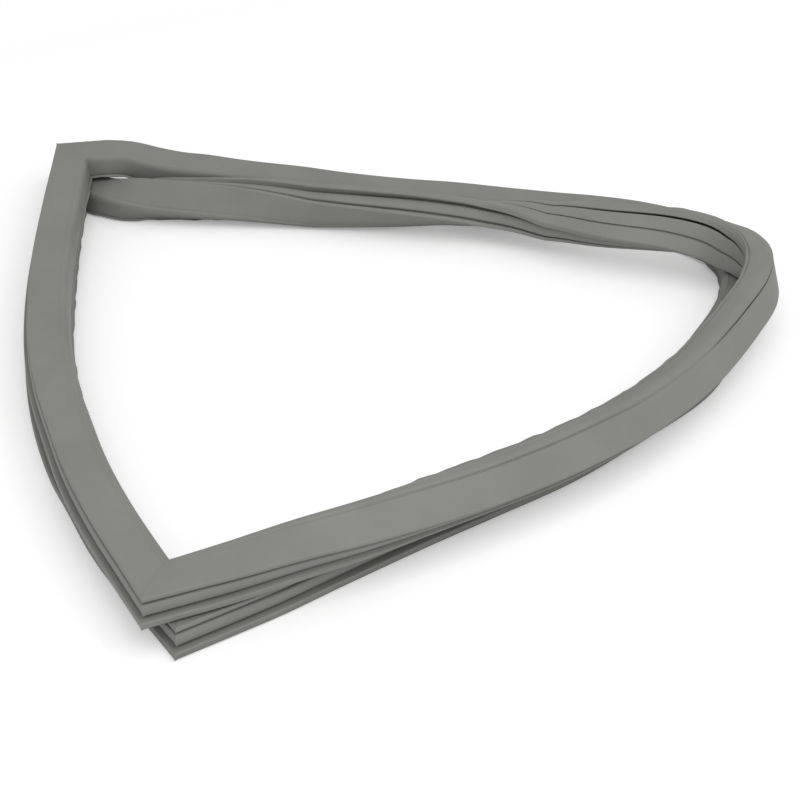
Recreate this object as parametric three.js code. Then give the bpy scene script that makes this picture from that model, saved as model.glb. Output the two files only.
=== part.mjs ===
// Refrigerator door gasket, coiled into two turns as it is packed
// Millimetres, +Z up, standing on z = 0
import * as THREE from 'three';

// Driving dimensions of the extruded section
// u runs outward from the middle of the sealing face, v runs up from the foot
const face_width = 18;
const section_height = 16;
const slab_edge_height = 2.9;
const outer_lip_reach = 12.5;
const outer_lip_height = 4;
const shoulder_width = 4.4;
const shoulder_drop = 3;
const inner_lip_reach = 14.9;
const inner_lip_height = 3.4;
const fold_depth = 1.6;
const fold_opening = 0.8;
const bulge = 1.2;
const wall = 1.6;
const web = 2.2;
const foot_inset = 1.5;
const foot_gap_width = 1.4;
const foot_gap_offset = 7.3;
const foot_groove_offset = 1.5;
const foot_groove_width = 1.2;
const foot_groove_depth = 1.1;
const edge_round = 0.6;

// The magnet strip and the pocket that holds it
const magnet_width = 12;
const magnet_thickness = 1.7;
const magnet_clearance = 0.3;
const pocket_roof = 1.1;
const pocket_slit = 0.6;

// The coil: x and y below are hundredths of these, and the gap between its turns
const coil_length = 400;
const coil_width = 400;
const turn_gap = 1.2;

// Steps along each side of the gasket
const short_side_steps = 12;
const first_long_side_steps = 52;
const second_long_side_steps = 36;

// Half sizes and heights that the outline is built from
const half_face = face_width / 2;
const pocket_half = magnet_width / 2 + magnet_clearance;
const pocket_top = section_height - pocket_roof;
const pocket_floor = pocket_top - magnet_thickness - 2 * magnet_clearance;
const slab_underside = pocket_floor - 0.6 * wall;
const upper_fold_top = section_height - slab_edge_height;
const upper_fold_bottom = upper_fold_top - fold_opening;
const lower_fold_bottom = outer_lip_height + edge_round / 2;
const lower_fold_top = lower_fold_bottom + fold_opening;
const fold_root = half_face - fold_depth;
const bulge_height = (upper_fold_bottom + lower_fold_top) / 2;
const bulge_reach = half_face + bulge;
const shoulder_reach = half_face + shoulder_width;
const flank_reach = inner_lip_reach - edge_round;

// Shoulder, flank and thin lip on the inner side, from the face down
function innerSide() {
  return [
    [-half_face + edge_round, section_height],
    [-half_face, section_height - edge_round / 2],
    [-half_face - 0.35 * shoulder_width, section_height],
    [-half_face - 0.75 * shoulder_width, section_height - 0.35 * shoulder_drop],
    [-shoulder_reach, section_height - shoulder_drop],
    [-flank_reach + edge_round / 2, section_height / 2],
    [-flank_reach, inner_lip_height],
    [-flank_reach + edge_round, inner_lip_height - edge_round],
    [-inner_lip_reach, inner_lip_height / 2],
    [-inner_lip_reach, inner_lip_height / 2 - edge_round],
    [-shoulder_reach + foot_inset, 0],
  ];
}

// The bellows chamber, open downward through the gap in the foot,
// and the magnet pocket, open to the chamber through a slit
function chamber() {
  const gap_left = -foot_gap_offset - foot_gap_width;
  const chamber_left = -shoulder_reach + 0.9 * wall;
  return [
    [gap_left, 0],
    [gap_left, wall],
    [chamber_left, inner_lip_height + edge_round],
    [chamber_left, slab_underside - wall],
    [chamber_left + wall, slab_underside],
    [-pocket_slit / 2, slab_underside],
    [-pocket_slit / 2, pocket_floor],
    [-pocket_half, pocket_floor],
    [-pocket_half, pocket_top],
    [pocket_half, pocket_top],
    [pocket_half, pocket_floor],
    [pocket_slit / 2, pocket_floor],
    [pocket_slit / 2, slab_underside],
    [fold_root - wall, slab_underside],
    [fold_root - wall, upper_fold_bottom],
    [bulge_reach - wall, bulge_height],
    [fold_root - wall, lower_fold_top],
    [fold_root - wall, web],
    [-foot_gap_offset, web],
    [-foot_gap_offset, 0],
  ];
}

// Foot with its shallow groove, then the outer lip
function footAndLip() {
  const groove_right = foot_groove_offset + foot_groove_width;
  return [
    [foot_groove_offset, 0],
    [foot_groove_offset, foot_groove_depth],
    [groove_right, foot_groove_depth],
    [groove_right, 0],
    [outer_lip_reach - edge_round, 0],
    [outer_lip_reach, edge_round],
    [outer_lip_reach, outer_lip_height - edge_round],
    [outer_lip_reach - edge_round, outer_lip_height],
  ];
}

// Bellows folds and the edge of the magnet slab on the outer side
function outerSide() {
  return [
    [fold_root, lower_fold_bottom],
    [fold_root, lower_fold_top],
    [bulge_reach - edge_round, lower_fold_top + edge_round / 2],
    [bulge_reach, bulge_height],
    [bulge_reach - edge_round, upper_fold_bottom - edge_round / 2],
    [fold_root, upper_fold_bottom],
    [fold_root, upper_fold_top],
    [half_face, upper_fold_top + edge_round / 2],
    [half_face, section_height - edge_round],
    [half_face - edge_round, section_height],
  ];
}

const gasket_outline = [...innerSide(), ...chamber(), ...footAndLip(), ...outerSide()];

const magnet_outline = [
  [magnet_width / 2, pocket_top - magnet_clearance],
  [-magnet_width / 2, pocket_top - magnet_clearance],
  [-magnet_width / 2, pocket_floor + magnet_clearance],
  [0, pocket_floor + magnet_clearance],
  [magnet_width / 2, pocket_floor + magnet_clearance],
];

// How far the rolled section reaches below its centre
function reachBelow(roll) {
  const angle = THREE.MathUtils.degToRad(roll);
  const depths = gasket_outline.map(([u, v]) => {
    return u * Math.sin(angle) - (v - section_height / 2) * Math.cos(angle);
  });
  return Math.max(...depths);
}

// Stations along each side: x and y in hundredths of the coil's length and width,
// the height of the strand in turns, and the roll of the sealing face in degrees
const short_side_top = [
  [-54, 56, 1, 0],
  [-53.2, 39.5, 1, 0],
  [-51.9, 22, 1, 0],
  [-49.7, 7.2, 1, 0],
  [-46.8, -4.5, 1, 0],
  [-43, -15, 1, 0],
  [-39.6, -23.4, 1, 0],
  [-35, -32.5, 1, 0],
  [-28.1, -44.2, 1, 0],
];
const long_side_top = [
  [-28.1, -44.2, 1, 0],
  [-19.5, -41, 1, 10],
  [-12, -37.8, 1, 20],
  [-4.4, -34.8, 1, 32],
  [4.6, -30.6, 1, 45],
  [11.6, -27, 1, 50],
  [19.4, -22.4, 1, 50],
  [25.8, -18, 1, 50],
  [30.7, -14.2, 1, 52],
  [36.4, -8.5, 1, 55],
  [41, -2.9, 1, 58],
  [47.5, 7.2, 1, 62],
  [51.6, 15, 1, 66],
  [52.7, 21.5, 1, 78],
  [51, 26.6, 1, 96],
  [47.9, 29.3, 1, 114],
  [44.2, 30.8, 1, 132],
  [39.8, 32.4, 0.95, 145],
  [30.8, 34.9, 0.85, 160],
  [25, 37.6, 0.74, 174],
  [19, 40.2, 0.58, 192],
  [12.7, 42.2, 0.3, 212],
  [6.6, 42.6, 0.34, 222],
  [0, 43.4, 0.25, 236],
  [-9.2, 44.8, 0.12, 252],
  [-15.8, 46, 0.04, 266],
  [-25.5, 47.2, 0, 288],
  [-32, 47.8, 0, 300],
  [-40, 48.8, 0, 314],
  [-44.5, 50, 0, 341],
  [-48.5, 52, 0, 357],
  [-55.2, 56.2, 0, 360],
];
const short_side_below = [
  [-55.2, 56.2, 0, 0],
  [-54.2, 40, 0, 0],
  [-52.3, 22, 0, 0],
  [-50.1, 7.2, 0, 0],
  [-47, -5, 0, 0],
  [-43, -15.5, 0, 0],
  [-39.6, -22, 0, 0],
  [-34.6, -31.2, 0, 0],
  [-25, -44.6, 0, 0],
];
const long_side_below = [
  [-25, -44.6, 0, 0],
  [-15.4, -38.8, 0, 0],
  [-9, -34.4, 0, 0],
  [2.4, -26.8, 0, 0],
  [10, -22, 0, 0],
  [20.8, -15, 0, 0],
  [30.6, -6.8, 0, 0],
  [40.2, 2.2, 0, 0],
  [44.8, 9.5, 0, 0],
  [48.7, 16.4, 0, 0],
  [51.4, 23.2, 0, 0],
  [52.4, 30, 0, 0],
  [50.4, 36.2, 0, 0],
  [45.4, 41, 0, 0],
  [38.6, 44.4, 0, 0],
  [31.6, 46.3, 0, 0],
  [25, 47.4, 0, 0],
  [16.7, 49, 0, 0],
  [9, 50.6, 0, 0],
  [0, 51.9, 0, 0],
  [-9, 53.6, 0.02, 0],
  [-16, 53.8, 0.25, 0],
  [-25, 54.8, 0.38, 0],
  [-32, 55, 0.62, 0],
  [-36, 55.8, 0.62, 0],
  [-40, 56.8, 0.68, 0],
  [-44.5, 57.2, 0.91, 0],
  [-48.2, 56.3, 1.08, 0],
  [-54, 56, 1, 0],
];

// A smooth route through the stations of one side, with its roll
function sideRoute(stations, steps) {
  const turn_height = section_height + turn_gap;
  const points = stations.map(([x, y, level]) => {
    return new THREE.Vector3(x * coil_length / 100, y * coil_width / 100, level * turn_height);
  });
  const centre = new THREE.CatmullRomCurve3(points, false, 'centripetal');
  const rolls = stations.map((station) => station[3]);
  const rings = [];
  for (let i = 0; i <= steps; i += 1) {
    const t = i / steps;
    const roll = rollAt(rolls, t);
    const point = centre.getPoint(t);
    point.z += reachBelow(roll);
    rings.push({ point, roll });
  }
  rings.forEach((ring, i) => {
    const before = rings[Math.max(i - 1, 0)].point;
    const after = rings[Math.min(i + 1, steps)].point;
    ring.tangent = after.clone().sub(before).normalize();
  });
  return rings;
}

// Roll between two stations, eased so that it has no kinks
function rollAt(rolls, t) {
  const place = t * (rolls.length - 1);
  const before = Math.min(Math.floor(place), rolls.length - 2);
  const pick = (i) => rolls[THREE.MathUtils.clamp(i, 0, rolls.length - 1)];
  const s = place - before;
  const [a, b, c, d] = [pick(before - 1), pick(before), pick(before + 1), pick(before + 2)];
  const slope_in = (c - a) / 2;
  const slope_out = (d - b) / 2;
  const cubic = (2 * b - 2 * c + slope_in + slope_out) * s ** 3;
  const square = (3 * c - 3 * b - 2 * slope_in - slope_out) * s ** 2;
  return cubic + square + slope_in * s + b;
}

// Directions across the section: out of the coil, and out of the sealing face
function ringFrame(ring) {
  const level_out = new THREE.Vector3(ring.tangent.y, -ring.tangent.x, 0).normalize();
  const level_up = new THREE.Vector3().crossVectors(level_out, ring.tangent).normalize();
  const angle = THREE.MathUtils.degToRad(ring.roll);
  const up = level_up.clone().multiplyScalar(Math.cos(angle));
  up.addScaledVector(level_out, Math.sin(angle));
  const out = new THREE.Vector3().crossVectors(ring.tangent, up).normalize();
  return { point: ring.point, out, up };
}

// The mitre that two sides share at a welded corner
function mitreFrame(arriving, leaving) {
  const up = new THREE.Vector3().crossVectors(arriving.tangent, leaving.tangent).normalize();
  const out_before = new THREE.Vector3().crossVectors(arriving.tangent, up);
  const out_after = new THREE.Vector3().crossVectors(leaving.tangent, up);
  const out = out_before.clone().add(out_after).divideScalar(1 + out_before.dot(out_after));
  return { point: arriving.point, out, up };
}

// Every frame of the closed loop, in order, and where each side starts
function loopFrames() {
  const sides = [
    sideRoute(short_side_top, short_side_steps),
    sideRoute(long_side_top, first_long_side_steps),
    sideRoute(short_side_below, short_side_steps),
    sideRoute(long_side_below, second_long_side_steps),
  ];
  const frames = [];
  const starts = [];
  sides.forEach((side, i) => {
    const previous = sides[(i + sides.length - 1) % sides.length];
    starts.push(frames.length);
    frames.push(mitreFrame(previous[previous.length - 1], side[0]));
    side.slice(1, -1).forEach((ring) => frames.push(ringFrame(ring)));
  });
  return { frames, starts };
}

// Place an outline at a frame
function placeOutline(outline, frame) {
  return outline.map(([u, v]) => {
    const point = frame.point.clone().addScaledVector(frame.out, u);
    return point.addScaledVector(frame.up, v - section_height / 2);
  });
}

// Skin between rings of one outline, as a closed loop or with flat ends
// Each quad is split from low u to high u, so that twisted skins stay parallel
function sweptSolid(outline, frames, closed) {
  const count = outline.length;
  const positions = [];
  frames.forEach((frame) => {
    placeOutline(outline, frame).forEach((p) => positions.push(p.x, p.y, p.z));
  });
  const faces = [];
  const spans = closed ? frames.length : frames.length - 1;
  for (let ring = 0; ring < spans; ring += 1) {
    const here = ring * count;
    const next = ((ring + 1) % frames.length) * count;
    for (let i = 0; i < count; i += 1) {
      const j = (i + 1) % count;
      if (outline[j][0] > outline[i][0]) {
        faces.push(here + i, next + j, here + j, here + i, next + i, next + j);
      } else {
        faces.push(here + i, next + i, here + j, here + j, next + i, next + j);
      }
    }
  }
  if (!closed) {
    const last = (frames.length - 1) * count;
    const shape = outline.map(([u, v]) => new THREE.Vector2(u, v));
    THREE.ShapeUtils.triangulateShape(shape, []).forEach(([a, b, c]) => {
      faces.push(a, b, c);
      faces.push(last + a, last + c, last + b);
    });
  }
  const geometry = new THREE.BufferGeometry();
  geometry.setAttribute('position', new THREE.Float32BufferAttribute(positions, 3));
  geometry.setIndex(faces);
  geometry.computeVertexNormals();
  return geometry;
}

const loop = loopFrames();

// The gasket itself: one welded loop of soft extrusion
function gasketBody() {
  const geometry = sweptSolid(gasket_outline, loop.frames, true);
  const rubber = new THREE.MeshStandardMaterial({ color: 0x83837e, roughness: 0.62, metalness: 0 });
  const mesh = new THREE.Mesh(geometry, rubber);
  mesh.name = 'gasket_body';
  return mesh;
}

// One magnet strip for each side, ending short of the mitres
function magnetStrip(index, name) {
  const end = index + 1 < loop.starts.length ? loop.starts[index + 1] : loop.frames.length;
  const frames = loop.frames.slice(loop.starts[index] + 1, end);
  const geometry = sweptSolid(magnet_outline, frames, false);
  const ferrite = new THREE.MeshStandardMaterial({ color: 0x2c2b2a, roughness: 0.8, metalness: 0.1 });
  const mesh = new THREE.Mesh(geometry, ferrite);
  mesh.name = name;
  return mesh;
}

const gasket = new THREE.Group();
gasket.add(gasketBody());
gasket.add(magnetStrip(0, 'magnet_strip_short_top'));
gasket.add(magnetStrip(1, 'magnet_strip_long_outer'));
gasket.add(magnetStrip(2, 'magnet_strip_short_below'));
gasket.add(magnetStrip(3, 'magnet_strip_long_inner'));

// Stand the coil on z = 0, centred on the origin
const bounds = new THREE.Box3().setFromObject(gasket);
const middle = bounds.getCenter(new THREE.Vector3());
gasket.children.forEach((mesh) => mesh.geometry.translate(-middle.x, -middle.y, -bounds.min.z));

export default gasket;
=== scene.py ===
"""Refrigerator door gasket, coiled into two turns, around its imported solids."""

import math

import bpy
import numpy as np
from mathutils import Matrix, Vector


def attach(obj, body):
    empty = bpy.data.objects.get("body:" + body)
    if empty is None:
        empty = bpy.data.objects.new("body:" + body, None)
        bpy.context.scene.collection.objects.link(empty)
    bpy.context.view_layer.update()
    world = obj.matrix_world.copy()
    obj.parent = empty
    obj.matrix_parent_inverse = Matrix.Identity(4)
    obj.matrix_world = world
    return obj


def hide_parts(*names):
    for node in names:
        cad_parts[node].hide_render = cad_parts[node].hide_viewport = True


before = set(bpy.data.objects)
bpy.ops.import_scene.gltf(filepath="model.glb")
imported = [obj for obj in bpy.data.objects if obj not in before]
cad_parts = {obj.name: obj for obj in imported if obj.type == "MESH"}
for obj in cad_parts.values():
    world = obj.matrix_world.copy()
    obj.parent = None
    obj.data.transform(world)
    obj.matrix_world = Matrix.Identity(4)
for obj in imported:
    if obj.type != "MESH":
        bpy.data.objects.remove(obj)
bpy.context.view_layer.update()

bl_info = {
    "name": "Coiled door gasket",
    "version": (1, 0, 0),
    "blender": (4, 5, 0),
    "location": "View3D > Sidebar > Gasket",
    "description": "A mitred bellows gasket, coiled into two turns, with its stage",
    "category": "Object",
}

MM = 0.001


def length(name, description, default):
    """A property that holds a length in metres."""
    return bpy.props.FloatProperty(
        name=name, description=description, default=default, min=0.0,
        precision=4, subtype="DISTANCE", unit="LENGTH",
    )


def colour(name, description, default):
    """A property that holds a linear colour."""
    return bpy.props.FloatVectorProperty(
        name=name, description=description, default=default, min=0.0, max=1.0,
        size=3, subtype="COLOR",
    )


def amount(name, description, default):
    """A property that holds a plain number."""
    return bpy.props.FloatProperty(name=name, description=description, default=default)


class GasketSection(bpy.types.PropertyGroup):
    """Sizes of the extruded section; u runs outward, v runs up from the foot."""

    face_width: length("Face width", "Width of the sealing face", 0.018)
    height: length("Height", "Height of the section", 0.016)
    slab_edge_height: length("Slab edge", "Height of the magnet slab's edge", 0.0029)
    outer_lip_reach: length("Outer lip reach", "From the face middle to the outer lip", 0.0125)
    outer_lip_height: length("Outer lip height", "Height of the outer lip", 0.004)
    shoulder_width: length("Shoulder width", "Width of the inner shoulder", 0.0044)
    shoulder_drop: length("Shoulder drop", "Fall of the inner shoulder", 0.003)
    inner_lip_reach: length("Inner lip reach", "From the face middle to the inner lip", 0.0149)
    inner_lip_height: length("Inner lip height", "Height of the inner lip", 0.0034)
    fold_depth: length("Fold depth", "Depth of the two outer folds", 0.0016)
    fold_opening: length("Fold opening", "Opening of the two outer folds", 0.0008)
    bulge: length("Bulge", "How far the middle band stands out past the face", 0.0012)
    wall: length("Wall", "Wall of the bellows chamber", 0.0016)
    web: length("Web", "Thickness of the foot", 0.0022)
    foot_gap_width: length("Foot gap width", "Width of the gap in the foot", 0.0014)
    foot_gap_offset: length("Foot gap offset", "From the face middle to the gap", 0.0073)
    foot_groove_offset: length("Foot groove offset", "From the face middle to the groove", 0.0015)
    foot_groove_width: length("Foot groove width", "Width of the foot's groove", 0.0012)
    foot_groove_depth: length("Foot groove depth", "Depth of the foot's groove", 0.0011)
    edge_round: length("Edge round", "Rounding of the section's edges", 0.0006)
    magnet_width: length("Magnet width", "Width of the magnet strip", 0.012)
    magnet_thickness: length("Magnet thickness", "Thickness of the magnet strip", 0.0017)
    magnet_clearance: length("Magnet clearance", "Clearance of the strip in its pocket", 0.0003)
    pocket_roof: length("Pocket roof", "Thickness of the sealing face", 0.0011)
    pocket_slit: length("Pocket slit", "Slit from the pocket to the chamber", 0.0006)


class GasketCoil(bpy.types.PropertyGroup):
    """Sizes of the coil and of its soft details."""

    coil_length: length("Coil length", "Length that the stations' x is hundredths of", 0.4)
    coil_width: length("Coil width", "Width that the stations' y is hundredths of", 0.4)
    turn_gap: length("Turn gap", "Gap between the two turns", 0.0012)
    ring_spacing: length("Ring spacing", "Distance between rings of the skin", 0.0048)
    ruffle: length("Ruffle", "Height of the ripples on the thin inner lip", 0.0005)
    ruffle_pitch: length("Ruffle pitch", "Length of one ripple", 0.021)
    shoulder_crease: length("Shoulder crease", "Depth of the crease beside the face", 0.0011)
    weld_bead: length("Weld bead", "How far the mitre welds stand proud", 0.0003)
    mitre_length: length("Mitre length", "Stretch beside a mitre with no square rings", 0.022)
    magnet_end_gap: length("Magnet end gap", "From a mitre to the end of a magnet strip", 0.012)


class GasketLook(bpy.types.PropertyGroup):
    """Colours and finish."""

    vinyl: colour("Vinyl", "Colour of the soft vinyl", (0.25, 0.251, 0.237))
    vinyl_shade: colour("Vinyl shade", "Colour of its darker patches", (0.222, 0.223, 0.211))
    magnet: colour("Magnet", "Colour of the magnet strip", (0.03, 0.028, 0.027))
    floor: colour("Floor", "Colour of the floor", (0.92, 0.92, 0.92))
    roughness: amount("Roughness", "Roughness of the vinyl", 0.52)
    sky: amount("Sky", "Strength of the even light", 0.62)
    lamp: amount("Lamp", "Power of the large soft lamp, in watts", 9.0)
    # Painted shade: an ambient-occlusion mix darkens the vinyl's colour in its folds and recesses
    painted_recess_shade: amount("Recess shade", "How much the narrow folds darken", 0.35)
    painted_shade_reach: length("Recess reach", "How far a wall darkens what lies beside it", 0.011)
    floor_glow: amount("Floor glow", "Light that lifts the floor to white in the picture", 0.24)
    far_glow: amount("Far glow", "Light added to the floor past the lamp's reach", 0.6)
    glow_start: length("Glow start", "Where the far glow starts, from the middle", 0.5)
    glow_end: length("Glow end", "Where the far glow is full, from the middle", 2.0)


# The stage: floor and lamp in metres, and the camera's lens in millimetres
FLOOR_REACH = 6.0
FLOOR_DROP = 0.0002
LAMP_SIZE = (1.6, 1.2)
LAMP_PLACE = (0.3, -0.55, 1.25)
CAMERA_LENS = 72.0
CAMERA_ELEVATION = 38
CAMERA_PLACE = (0.0, -0.70045, 0.54725)

# Stations along each side: x and y in hundredths of the coil's length and width,
# the height of the strand in turns, and the roll of the sealing face in degrees
SHORT_SIDE_TOP = [
    (-54, 56, 1, 0), (-53.2, 39.5, 1, 0), (-51.9, 22, 1, 0), (-49.7, 7.2, 1, 0),
    (-46.8, -4.5, 1, 0), (-43, -15, 1, 0), (-39.6, -23.4, 1, 0), (-35, -32.5, 1, 0),
    (-28.1, -44.2, 1, 0),
]
LONG_SIDE_TOP = [
    (-28.1, -44.2, 1, 0), (-19.5, -41, 1, 10), (-12, -37.8, 1, 20), (-4.4, -34.8, 1, 32),
    (4.6, -30.6, 1, 45), (11.6, -27, 1, 50), (19.4, -22.4, 1, 50), (25.8, -18, 1, 50),
    (30.7, -14.2, 1, 52), (36.4, -8.5, 1, 55), (41, -2.9, 1, 58), (47.5, 7.2, 1, 62),
    (51.6, 15, 1, 66), (52.7, 21.5, 1, 78), (51, 26.6, 1, 96), (47.9, 29.3, 1, 114),
    (44.2, 30.8, 1, 132), (39.8, 32.4, 0.95, 145), (30.8, 34.9, 0.85, 160),
    (25, 37.6, 0.74, 174), (19, 40.2, 0.58, 192), (12.7, 42.2, 0.3, 212),
    (6.6, 42.6, 0.34, 222), (0, 43.4, 0.25, 236), (-9.2, 44.8, 0.12, 252),
    (-15.8, 46, 0.04, 266), (-25.5, 47.2, 0, 288), (-32, 47.8, 0, 300),
    (-40, 48.8, 0, 314), (-44.5, 50, 0, 341), (-48.5, 52, 0, 357),
    (-55.2, 56.2, 0, 360),
]
SHORT_SIDE_BELOW = [
    (-55.2, 56.2, 0, 0), (-54.2, 40, 0, 0), (-52.3, 22, 0, 0), (-50.1, 7.2, 0, 0),
    (-47, -5, 0, 0), (-43, -15.5, 0, 0), (-39.6, -22, 0, 0), (-34.6, -31.2, 0, 0),
    (-25, -44.6, 0, 0),
]
LONG_SIDE_BELOW = [
    (-25, -44.6, 0, 0), (-15.4, -38.8, 0, 0), (-9, -34.4, 0, 0), (2.4, -26.8, 0, 0),
    (10, -22, 0, 0), (20.8, -15, 0, 0), (30.6, -6.8, 0, 0), (40.2, 2.2, 0, 0),
    (44.8, 9.5, 0, 0), (48.7, 16.4, 0, 0), (51.4, 23.2, 0, 0), (52.4, 30, 0, 0),
    (50.4, 36.2, 0, 0), (45.4, 41, 0, 0), (38.6, 44.4, 0, 0), (31.6, 46.3, 0, 0),
    (25, 47.4, 0, 0), (16.7, 49, 0, 0), (9, 50.6, 0, 0),
    (0, 51.9, 0, 0), (-9, 53.6, 0.02, 0), (-16, 53.8, 0.25, 0),
    (-25, 54.8, 0.38, 0), (-32, 55, 0.62, 0), (-36, 55.8, 0.62, 0),
    (-40, 56.8, 0.68, 0), (-44.5, 57.2, 0.91, 0), (-48.2, 56.3, 1.08, 0),
    (-54, 56, 1, 0),
]
SIDES = (SHORT_SIDE_TOP, LONG_SIDE_TOP, SHORT_SIDE_BELOW, LONG_SIDE_BELOW)

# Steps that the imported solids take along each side, used to find their middle
PACKED_STEPS = (12, 52, 12, 36)


def section_corners(q):
    """Corners of the section as (u, v, rounding), in metres, with their roles."""
    half = q.face_width / 2
    top = q.height
    e = q.edge_round
    shoulder = half + q.shoulder_width
    flank = q.inner_lip_reach - e
    lip = q.inner_lip_height
    fold_root = half - q.fold_depth
    fold_top = top - q.slab_edge_height
    fold_low = fold_top - q.fold_opening
    low_fold = q.outer_lip_height + e / 2
    low_fold_top = low_fold + q.fold_opening
    middle = (fold_low + low_fold_top) / 2
    reach = half + q.bulge
    pocket = q.magnet_width / 2 + q.magnet_clearance
    pocket_top = top - q.pocket_roof
    pocket_floor = pocket_top - q.magnet_thickness - 2 * q.magnet_clearance
    underside = pocket_floor - 0.6 * q.wall
    slit = q.pocket_slit / 2
    gap_left = -q.foot_gap_offset - q.foot_gap_width
    cell = -shoulder + 0.9 * q.wall
    groove = q.foot_groove_offset + q.foot_groove_width
    fine = 0.35 * e
    return [
        (-half + e, top, 0.4 * e, ""),
        (-half, top - e / 2, 0.9 * e, "valley"),
        (-half - 0.35 * q.shoulder_width, top, 1.5 * e, "ridge"),
        (-half - 0.75 * q.shoulder_width, top - 0.35 * q.shoulder_drop, 2 * e, ""),
        (-shoulder, top - q.shoulder_drop, 3 * e, ""),
        (-flank + e / 2, top / 2, 2 * e, ""),
        (-flank, lip, e, "lip"),
        (-flank + e, lip - e, fine, "lip"),
        (-q.inner_lip_reach, lip / 2, fine, "tip"),
        (-q.inner_lip_reach, lip / 2 - e, fine, "tip"),
        (-shoulder + 1.5 * MM, 0, fine, ""),
        (gap_left, 0, fine, ""),
        (gap_left, q.wall, fine, ""),
        (cell, lip + e, e, ""),
        (cell, underside - q.wall, e, ""),
        (cell + q.wall, underside, e, ""),
        (-slit, underside, 0, ""),
        (-slit, pocket_floor, 0, ""),
        (-pocket, pocket_floor, 0, ""),
        (-pocket, pocket_top, 0, ""),
        (pocket, pocket_top, 0, ""),
        (pocket, pocket_floor, 0, ""),
        (slit, pocket_floor, 0, ""),
        (slit, underside, 0, ""),
        (fold_root - q.wall, underside, e, ""),
        (fold_root - q.wall, fold_low, e, ""),
        (reach - q.wall, middle, e, ""),
        (fold_root - q.wall, low_fold_top, e, ""),
        (fold_root - q.wall, q.web, e, ""),
        (-q.foot_gap_offset, q.web, fine, ""),
        (-q.foot_gap_offset, 0, fine, ""),
        (q.foot_groove_offset, 0, fine, ""),
        (q.foot_groove_offset, q.foot_groove_depth, fine, ""),
        (groove, q.foot_groove_depth, fine, ""),
        (groove, 0, fine, ""),
        (q.outer_lip_reach - e, 0, e, ""),
        (q.outer_lip_reach, e, e, ""),
        (q.outer_lip_reach, q.outer_lip_height - e, e, ""),
        (q.outer_lip_reach - e, q.outer_lip_height, e, ""),
        (fold_root, low_fold, fine, ""),
        (fold_root, low_fold_top, fine, ""),
        (reach - e, low_fold_top + e / 2, 1.6 * e, ""),
        (reach, middle, 3 * e, ""),
        (reach - e, fold_low - e / 2, 1.6 * e, ""),
        (fold_root, fold_low, fine, ""),
        (fold_root, fold_top, fine, ""),
        (half, fold_top + e / 2, 0.8 * e, ""),
        (half, top - e, 0.8 * e, ""),
        (half - e, top, 0.8 * e, ""),
    ]


def rounded_outline(corners, steps=3):
    """Outline points (u, v) with every corner rounded, and each point's role."""
    points = []
    roles = []
    count = len(corners)
    for i, (u, v, radius, role) in enumerate(corners):
        here = np.array((u, v))
        before = np.array(corners[i - 1][:2]) - here
        after = np.array(corners[(i + 1) % count][:2]) - here
        room = 0.45 * min(np.linalg.norm(before), np.linalg.norm(after))
        cut = min(radius, room)
        if cut <= 0:
            points.append(here)
            roles.append(role)
            continue
        start = here + before / np.linalg.norm(before) * cut
        end = here + after / np.linalg.norm(after) * cut
        for k in range(steps + 1):
            s = k / steps
            points.append((1 - s) ** 2 * start + 2 * s * (1 - s) * here + s * s * end)
            roles.append(role)
    return np.array(points), roles


def reach_below(outline, height, roll):
    """How far the rolled section reaches below its centre."""
    a = np.radians(roll)[:, None]
    depths = outline[None, :, 0] * np.sin(a) - (outline[None, :, 1] - height / 2) * np.cos(a)
    return depths.max(axis=1)


def curve_point(points, t):
    """Point of a centripetal curve through the stations."""
    place = t * (len(points) - 1)
    i = min(int(place), len(points) - 2)
    s = place - i
    p1, p2 = points[i], points[i + 1]
    p0 = points[i - 1] if i > 0 else 2 * p1 - p2
    p3 = points[i + 2] if i + 2 < len(points) else 2 * p2 - p1
    d0 = math.sqrt(np.linalg.norm(p1 - p0))
    d1 = math.sqrt(np.linalg.norm(p2 - p1))
    d2 = math.sqrt(np.linalg.norm(p3 - p2))
    m1 = ((p1 - p0) / d0 - (p2 - p0) / (d0 + d1) + (p2 - p1) / d1) * d1
    m2 = ((p2 - p1) / d1 - (p3 - p1) / (d1 + d2) + (p3 - p2) / d2) * d1
    cubic = 2 * p1 - 2 * p2 + m1 + m2
    square = -3 * p1 + 3 * p2 - 2 * m1 - m2
    return ((cubic * s + square) * s + m1) * s + p1


def roll_at(rolls, t):
    """Roll between two stations, eased so that it has no kinks."""
    place = t * (len(rolls) - 1)
    i = min(int(place), len(rolls) - 2)
    s = place - i
    a, b, c, d = (rolls[min(max(k, 0), len(rolls) - 1)] for k in range(i - 1, i + 3))
    m1 = (c - a) / 2
    m2 = (d - b) / 2
    return (2 * b - 2 * c + m1 + m2) * s**3 + (3 * c - 3 * b - 2 * m1 - m2) * s**2 + m1 * s + b


def side_route(stations, parameters, coil, section, outline):
    """Points, tangents and rolls along one side."""
    size = np.array((coil.coil_length / 100, coil.coil_width / 100, section.height + coil.turn_gap))
    points = [np.array(station[:3]) * size for station in stations]
    rolls = [station[3] for station in stations]
    centre = np.array([curve_point(points, t) for t in parameters])
    roll = np.array([roll_at(rolls, t) for t in parameters])
    centre[:, 2] += reach_below(outline, section.height, roll)
    tangent = np.empty_like(centre)
    tangent[1:-1] = centre[2:] - centre[:-2]
    tangent[0] = centre[1] - centre[0]
    tangent[-1] = centre[-1] - centre[-2]
    tangent /= np.linalg.norm(tangent, axis=1)[:, None]
    return centre, tangent, roll


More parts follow.
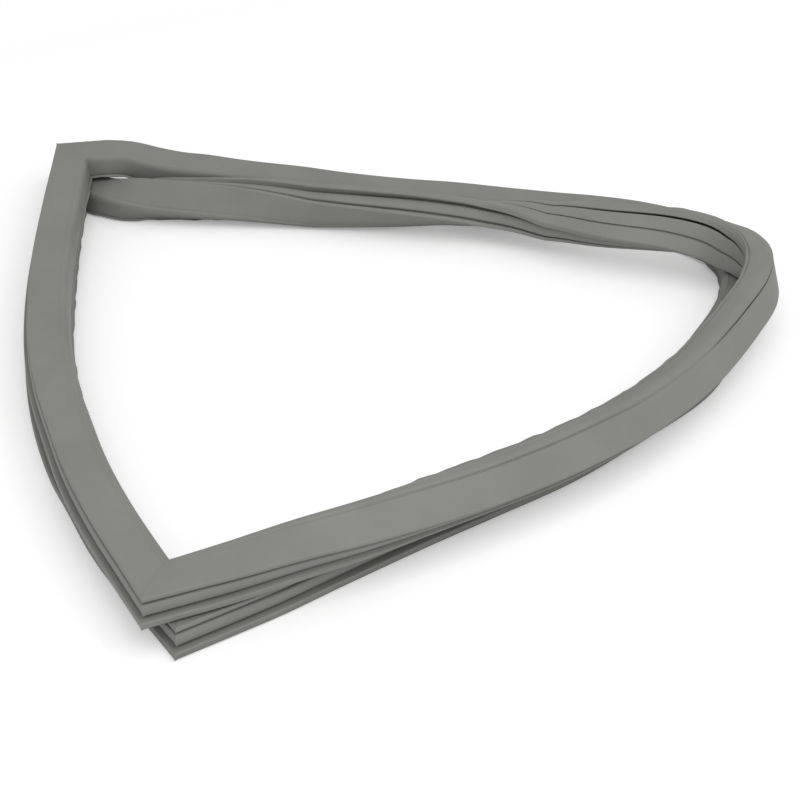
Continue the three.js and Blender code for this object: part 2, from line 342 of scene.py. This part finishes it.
def even_parameters(stations, coil, spacing):
    """Parameters that are one spacing apart along the side."""
    size = np.array((coil.coil_length / 100, coil.coil_width / 100, 0.017))
    points = [np.array(station[:3]) * size for station in stations]
    t = np.linspace(0, 1, 20 * len(points))
    line = np.array([curve_point(points, k) for k in t])
    along = np.concatenate(([0], np.cumsum(np.linalg.norm(np.diff(line, axis=0), axis=1))))
    count = max(int(round(along[-1] / spacing)), 4)
    steps = np.linspace(0, along[-1], count + 1)
    clear = coil.mitre_length
    inner = steps[(steps > clear) & (steps < along[-1] - clear)]
    return np.interp(np.concatenate(([0], inner, [along[-1]])), along, t)


def unit(v):
    """The vector at length one."""
    return v / np.linalg.norm(v)


def loop_frames(parameters, coil, section, outline):
    """Centres, outward and upward directions, way along and side of every ring."""
    routes = [
        side_route(stations, ts, coil, section, outline)
        for stations, ts in zip(SIDES, parameters)
    ]
    centres, outs, ups, ways, sides = [], [], [], [], []
    way = 0.0
    for k, (centre, tangent, roll) in enumerate(routes):
        arriving = routes[k - 1][1][-1]
        up = unit(np.cross(arriving, tangent[0]))
        first = np.cross(arriving, up)
        second = np.cross(tangent[0], up)
        centres.append(routes[k - 1][0][-1])
        outs.append((first + second) / (1 + first @ second))
        ups.append(up)
        ways.append(way)
        sides.append(k)
        for i in range(1, len(centre) - 1):
            way += np.linalg.norm(centre[i] - centre[i - 1])
            t = tangent[i]
            level_out = unit(np.array((t[1], -t[0], 0)))
            level_up = unit(np.cross(level_out, t))
            a = math.radians(roll[i])
            up = math.cos(a) * level_up + math.sin(a) * level_out
            centres.append(centre[i])
            outs.append(unit(np.cross(t, up)))
            ups.append(up)
            ways.append(way)
            sides.append(k)
        way += np.linalg.norm(centre[-1] - centre[-2])
    return np.array(centres), np.array(outs), np.array(ups), np.array(ways), np.array(sides)


def blend_mitres(frames):
    """Rings between each mitre and the square rings beside it."""
    centres, outs, ups, ways, sides = frames
    count = len(ways)
    mitres = {int(np.argmax(sides == k)) for k in range(4)}
    shares = (0.035, 0.07, 0.3, 0.6)
    rows = []
    for i in range(count):
        j = (i + 1) % count
        rows.append((i, j, 0.0))
        if i in mitres:
            rows += [(i, j, s) for s in shares]
        elif j in mitres:
            rows += [(i, j, 1 - s) for s in reversed(shares)]
    first, second, share = (np.array(column) for column in zip(*rows))
    mix = [
        values[first] + (values[second] - values[first]) * share[:, None]
        for values in (centres, outs, ups)
    ]
    gap = np.linalg.norm(centres[second] - centres[first], axis=1)
    return (*mix, ways[first] + gap * share, sides[first])


def place(outlines, frames, height):
    """Ring points from one outline for every ring."""
    centres, outs, ups = frames[:3]
    u = outlines[:, :, 0:1]
    v = outlines[:, :, 1:2] - height / 2
    return centres[:, None] + u * outs[:, None] + v * ups[:, None]


def packed_middle(coil, section, outline):
    """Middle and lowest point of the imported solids' own rings."""
    parameters = [np.linspace(0, 1, steps + 1) for steps in PACKED_STEPS]
    frames = loop_frames(parameters, coil, section, outline)
    count = len(frames[0])
    rings = place(np.repeat(outline[None], count, axis=0), frames, section.height)
    low = rings.reshape(-1, 3).min(axis=0)
    high = rings.reshape(-1, 3).max(axis=0)
    return np.array(((low[0] + high[0]) / 2, (low[1] + high[1]) / 2, low[2]))


def bump_window(way, start, end, ease):
    """One between start and end along the strand, easing to nothing outside."""
    rise = np.clip((way - start) / ease, 0, 1)
    fall = np.clip((end - way) / ease, 0, 1)
    s = np.minimum(rise, fall)
    return s * s * (3 - 2 * s)


def soft_details(outline, roles, frames, coil):
    """The outline of every ring, with its ripples, crease and weld beads."""
    centres, outs, ups, ways, sides = frames
    outlines = np.repeat(outline[None], len(ways), axis=0)
    roles = np.array(roles)
    phase = 2 * math.pi * ways / coil.ruffle_pitch
    wave = np.sin(phase) + 0.6 * np.sin(1.63 * phase + 1.1) + 0.3 * np.sin(3.1 * phase + 0.4)
    tips = roles == "tip"
    lips = roles == "lip"
    outlines[:, tips, 0] += (0.5 * coil.ruffle * wave)[:, None]
    outlines[:, tips, 1] += (0.35 * coil.ruffle * (1 + np.cos(0.8 * phase)))[:, None]
    outlines[:, lips, 0] += (0.2 * coil.ruffle * wave)[:, None]
    side_start = np.array([ways[np.argmax(sides == k)] for k in range(4)])
    here = ways - side_start[sides]
    crease = bump_window(here, 0.30, 0.52, 0.09) * (sides == 1)
    crease += 0.35 * bump_window(here, 0.05, 0.35, 0.15) * (sides == 1)
    valley = roles == "valley"
    ridge = roles == "ridge"
    outlines[:, valley, 1] -= (coil.shoulder_crease * crease)[:, None]
    outlines[:, ridge, 1] += (0.25 * coil.shoulder_crease * crease)[:, None]
    ends = np.append(side_start[1:], ways[-1] + coil.ring_spacing)
    to_weld = np.minimum(here, ends[sides] - ways)
    bead = coil.weld_bead * np.clip(1 - to_weld / (0.03 * coil.mitre_length), 0, 1)
    centre = np.array((0.0, outline[:, 1].max() / 2))
    spread = outline - centre
    spread = spread / np.linalg.norm(spread, axis=1)[:, None]
    outlines += bead[:, None, None] * spread[None]
    return outlines


def skin_mesh(name, rings, closed):
    """Mesh of quads between rings, as a closed loop or with flat ends."""
    count, around = rings.shape[:2]
    spans = count if closed else count - 1
    i = np.arange(spans)[:, None]
    j = np.arange(around)[None, :]
    here = i * around + j
    beside = i * around + (j + 1) % around
    ahead = ((i + 1) % count) * around + j
    corner = ((i + 1) % count) * around + (j + 1) % around
    faces = np.stack((here, ahead, corner, beside), axis=-1).reshape(-1, 4).tolist()
    if not closed:
        faces.append(list(range(around)))
        faces.append([(count - 1) * around + k for k in reversed(range(around))])
    mesh = bpy.data.meshes.new(name)
    mesh.from_pydata(rings.reshape(-1, 3).tolist(), [], faces)
    mesh.validate()
    mesh.shade_smooth()
    mesh.set_sharp_from_angle(angle=math.radians(48))
    return mesh


def paint_ways(mesh, ways, around):
    """Store the way along the strand on the skin."""
    layer = mesh.attributes.new("along", "FLOAT", "POINT")
    layer.data.foreach_set("value", np.repeat(ways, around).astype(np.float32))


def add_object(mesh, material):
    """An object for the mesh, with its material."""
    obj = bpy.data.objects.new(mesh.name, mesh)
    obj.data.materials.append(material)
    bpy.context.scene.collection.objects.link(obj)
    return obj


def node(tree, kind, **values):
    """A shader node with its input values set."""
    made = tree.nodes.new(kind)
    for key, value in values.items():
        made.inputs[key.replace("_", " ")].default_value = value
    return made


def vinyl_material(look):
    """Soft matt vinyl: faint patches, fine grain, and painted shade that darkens its recesses."""
    material = bpy.data.materials.new("gasket_vinyl")
    material.use_nodes = True
    tree = material.node_tree
    shader = tree.nodes["Principled BSDF"]
    place_node = tree.nodes.new("ShaderNodeTexCoord")
    patches = node(tree, "ShaderNodeTexNoise", Scale=26.0, Detail=4.0, Roughness=0.55)
    grain = node(tree, "ShaderNodeTexNoise", Scale=900.0, Detail=3.0, Roughness=0.6)
    tree.links.new(place_node.outputs["Object"], patches.inputs["Vector"])
    tree.links.new(place_node.outputs["Object"], grain.inputs["Vector"])
    ramp = tree.nodes.new("ShaderNodeValToRGB")
    ramp.color_ramp.elements[0].position = 0.3
    ramp.color_ramp.elements[0].color = (*look.vinyl_shade, 1)
    ramp.color_ramp.elements[1].position = 0.7
    ramp.color_ramp.elements[1].color = (*look.vinyl, 1)
    tree.links.new(patches.outputs["Fac"], ramp.inputs["Fac"])
    # Painted shade: ambient occlusion darkens the base colour in folds and recesses, then is mixed
    # in by the painted recess shade amount
    painted_shade_node = node(tree, "ShaderNodeAmbientOcclusion", Distance=look.painted_shade_reach)
    painted_shade_node.samples = 8
    tree.links.new(ramp.outputs["Color"], painted_shade_node.inputs["Color"])
    blend = tree.nodes.new("ShaderNodeMix")
    blend.data_type = "RGBA"
    blend.inputs["Factor"].default_value = look.painted_recess_shade
    tree.links.new(ramp.outputs["Color"], blend.inputs[6])
    tree.links.new(painted_shade_node.outputs["Color"], blend.inputs[7])
    tree.links.new(blend.outputs[2], shader.inputs["Base Color"])
    finish = node(tree, "ShaderNodeMapRange")
    finish.inputs["To Min"].default_value = look.roughness - 0.07
    finish.inputs["To Max"].default_value = look.roughness + 0.07
    tree.links.new(grain.outputs["Fac"], finish.inputs["Value"])
    tree.links.new(finish.outputs["Result"], shader.inputs["Roughness"])
    bump = node(tree, "ShaderNodeBump", Strength=0.12, Distance=0.0002)
    tree.links.new(grain.outputs["Fac"], bump.inputs["Height"])
    tree.links.new(bump.outputs["Normal"], shader.inputs["Normal"])
    shader.inputs["Specular IOR Level"].default_value = 0.32
    return material


def magnet_material(look):
    """Dull bonded ferrite."""
    material = bpy.data.materials.new("magnet_ferrite")
    material.use_nodes = True
    shader = material.node_tree.nodes["Principled BSDF"]
    shader.inputs["Base Color"].default_value = (*look.magnet, 1)
    shader.inputs["Roughness"].default_value = 0.8
    return material


def floor_material(look):
    """Pale floor, lifted to white for the camera and keeping its shadows."""
    material = bpy.data.materials.new("floor_white")
    material.use_nodes = True
    tree = material.node_tree
    shader = tree.nodes["Principled BSDF"]
    shader.inputs["Base Color"].default_value = (*look.floor, 1)
    shader.inputs["Roughness"].default_value = 1.0
    shader.inputs["Specular IOR Level"].default_value = 0.0
    shader.inputs["Emission Color"].default_value = (1, 1, 1, 1)
    path = tree.nodes.new("ShaderNodeLightPath")
    glow = tree.nodes.new("ShaderNodeMath")
    glow.operation = "MULTIPLY"
    place_node = tree.nodes.new("ShaderNodeTexCoord")
    reach = tree.nodes.new("ShaderNodeVectorMath")
    reach.operation = "LENGTH"
    fade = node(tree, "ShaderNodeMapRange")
    fade.inputs["From Min"].default_value = look.glow_start
    fade.inputs["From Max"].default_value = look.glow_end
    fade.inputs["To Min"].default_value = look.floor_glow
    fade.inputs["To Max"].default_value = look.floor_glow + look.far_glow
    tree.links.new(place_node.outputs["Object"], reach.inputs[0])
    tree.links.new(reach.outputs["Value"], fade.inputs["Value"])
    tree.links.new(path.outputs["Is Camera Ray"], glow.inputs[0])
    tree.links.new(fade.outputs["Result"], glow.inputs[1])
    tree.links.new(glow.outputs[0], shader.inputs["Emission Strength"])
    return material


def strand_data(scene):
    """Outline, roles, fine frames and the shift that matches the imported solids."""
    section = scene.gasket_section
    coil = scene.gasket_coil
    corners = section_corners(section)
    plain = np.array([corner[:2] for corner in corners])
    outline, roles = rounded_outline(corners)
    shift = packed_middle(coil, section, plain)
    parameters = [even_parameters(side, coil, coil.ring_spacing) for side in SIDES]
    frames = blend_mitres(loop_frames(parameters, coil, section, plain))
    return outline, roles, frames, shift


class GASKET_OT_body(bpy.types.Operator):
    """Build the gasket's soft vinyl body"""

    bl_idname = "gasket.body"
    bl_label = "Gasket body"

    def execute(self, context):
        """Sweep the rounded section round the coil."""
        scene = context.scene
        outline, roles, frames, shift = strand_data(scene)
        outlines = soft_details(outline, roles, frames, scene.gasket_coil)
        rings = place(outlines, frames, scene.gasket_section.height) - shift
        mesh = skin_mesh("gasket_skin", rings, closed=True)
        paint_ways(mesh, frames[3], len(outline))
        body = add_object(mesh, vinyl_material(scene.gasket_look))
        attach(body, "root")
        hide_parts("gasket_body")
        return {"FINISHED"}


class GASKET_OT_magnets(bpy.types.Operator):
    """Build the magnet strip of each side"""

    bl_idname = "gasket.magnets"
    bl_label = "Magnet strips"

    def execute(self, context):
        """Sweep a flat strip along each side, short of its mitres."""
        scene = context.scene
        section = scene.gasket_section
        outline, roles, frames, shift = strand_data(scene)
        top = section.height - section.pocket_roof - section.magnet_clearance
        half = section.magnet_width / 2
        low = top - section.magnet_thickness
        strip = np.array([(half, top), (-half, top), (-half, low), (half, low)])
        material = magnet_material(scene.gasket_look)
        names = (
            "magnet_strip_short_top", "magnet_strip_long_outer",
            "magnet_strip_short_below", "magnet_strip_long_inner",
        )
        for k, name in enumerate(names):
            rings = np.flatnonzero(frames[4] == k)
            coil = scene.gasket_coil
            skip = int(round(coil.magnet_end_gap / coil.ring_spacing))
            rings = rings[skip + 1:-skip]
            some = tuple(values[rings] for values in frames[:3])
            outlines = np.repeat(strip[None], len(rings), axis=0)
            points = place(outlines, some, section.height) - shift
            magnet = add_object(skin_mesh(name + "_skin", points, closed=False), material)
            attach(magnet, "root")
            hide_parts(name)
        return {"FINISHED"}


class GASKET_OT_stage(bpy.types.Operator):
    """Set the floor, light and camera of the photo"""

    bl_idname = "gasket.stage"
    bl_label = "Stage"

    def execute(self, context):
        """Build the white floor, the even light, the lamp and the camera."""
        scene = context.scene
        look = scene.gasket_look
        self.add_floor(look)
        self.add_world(scene, look)
        self.add_lamp(scene, look)
        self.add_camera(scene)
        scene.view_settings.view_transform = "Standard"
        return {"FINISHED"}

    def add_floor(self, look):
        """A wide plane under the coil."""
        mesh = bpy.data.meshes.new("floor")
        r = FLOOR_REACH
        corners = [(-r, -r, 0), (r, -r, 0), (r, r, 0), (-r, r, 0)]
        mesh.from_pydata(corners, [], [(0, 1, 2, 3)])
        floor = add_object(mesh, floor_material(look))
        floor.location.z = -FLOOR_DROP

    def add_world(self, scene, look):
        """Even light, white where the camera sees past the floor."""
        world = bpy.data.worlds.new("even light")
        world.use_nodes = True
        tree = world.node_tree
        tree.nodes.clear()
        out = tree.nodes.new("ShaderNodeOutputWorld")
        light = node(tree, "ShaderNodeBackground", Color=(1, 1, 1, 1), Strength=look.sky)
        seen = node(tree, "ShaderNodeBackground", Color=(1, 1, 1, 1), Strength=1.0)
        path = tree.nodes.new("ShaderNodeLightPath")
        mix = tree.nodes.new("ShaderNodeMixShader")
        tree.links.new(path.outputs["Is Camera Ray"], mix.inputs[0])
        tree.links.new(light.outputs[0], mix.inputs[1])
        tree.links.new(seen.outputs[0], mix.inputs[2])
        tree.links.new(mix.outputs[0], out.inputs["Surface"])
        scene.world = world

    def add_lamp(self, scene, look):
        """A large soft lamp above and in front of the coil."""
        lamp = bpy.data.lights.new("soft lamp", "AREA")
        lamp.shape = "RECTANGLE"
        lamp.size, lamp.size_y = LAMP_SIZE
        lamp.energy = look.lamp
        obj = bpy.data.objects.new("soft lamp", lamp)
        obj.location = LAMP_PLACE
        direction = Vector((0, 0, 0)) - obj.location
        obj.rotation_euler = direction.to_track_quat("-Z", "Y").to_euler()
        scene.collection.objects.link(obj)

    def add_camera(self, scene):
        """The photo's view, from above the front."""
        section = scene.gasket_section
        plain = np.array([corner[:2] for corner in section_corners(section)])
        shift = packed_middle(scene.gasket_coil, section, plain)
        camera = bpy.data.cameras.new("photo")
        camera.lens = CAMERA_LENS
        camera.sensor_width = 36.0
        camera.clip_start = 0.05
        obj = bpy.data.objects.new("photo", camera)
        obj.location = Vector(CAMERA_PLACE) - Vector(shift)
        obj.rotation_euler = (math.radians(90 - CAMERA_ELEVATION), 0, 0)
        scene.collection.objects.link(obj)
        scene.camera = obj


class GASKET_PT_panel(bpy.types.Panel):
    """Sizes, looks and the steps that build the gasket."""

    bl_idname = "GASKET_PT_panel"
    bl_label = "Gasket"
    bl_space_type = "VIEW_3D"
    bl_region_type = "UI"
    bl_category = "Gasket"

    def draw(self, context):
        """List every size and step."""
        layout = self.layout
        for group in ("gasket_section", "gasket_coil", "gasket_look"):
            values = getattr(context.scene, group)
            for key in values.__annotations__:
                layout.prop(values, key)
        for step in (GASKET_OT_body, GASKET_OT_magnets, GASKET_OT_stage):
            layout.operator(step.bl_idname)


CLASSES = (
    GasketSection, GasketCoil, GasketLook,
    GASKET_OT_body, GASKET_OT_magnets, GASKET_OT_stage, GASKET_PT_panel,
)


def register():
    """Add the classes and the scene's settings."""
    for cls in CLASSES:
        bpy.utils.register_class(cls)
    bpy.types.Scene.gasket_section = bpy.props.PointerProperty(type=GasketSection)
    bpy.types.Scene.gasket_coil = bpy.props.PointerProperty(type=GasketCoil)
    bpy.types.Scene.gasket_look = bpy.props.PointerProperty(type=GasketLook)


def unregister():
    """Remove the settings and the classes."""
    del bpy.types.Scene.gasket_look
    del bpy.types.Scene.gasket_coil
    del bpy.types.Scene.gasket_section
    for cls in reversed(CLASSES):
        bpy.utils.unregister_class(cls)


def main():
    """Build the gasket and its stage."""
    register()
    bpy.ops.gasket.body()
    bpy.ops.gasket.magnets()
    bpy.ops.gasket.stage()


if __name__ == "__main__":
    main()
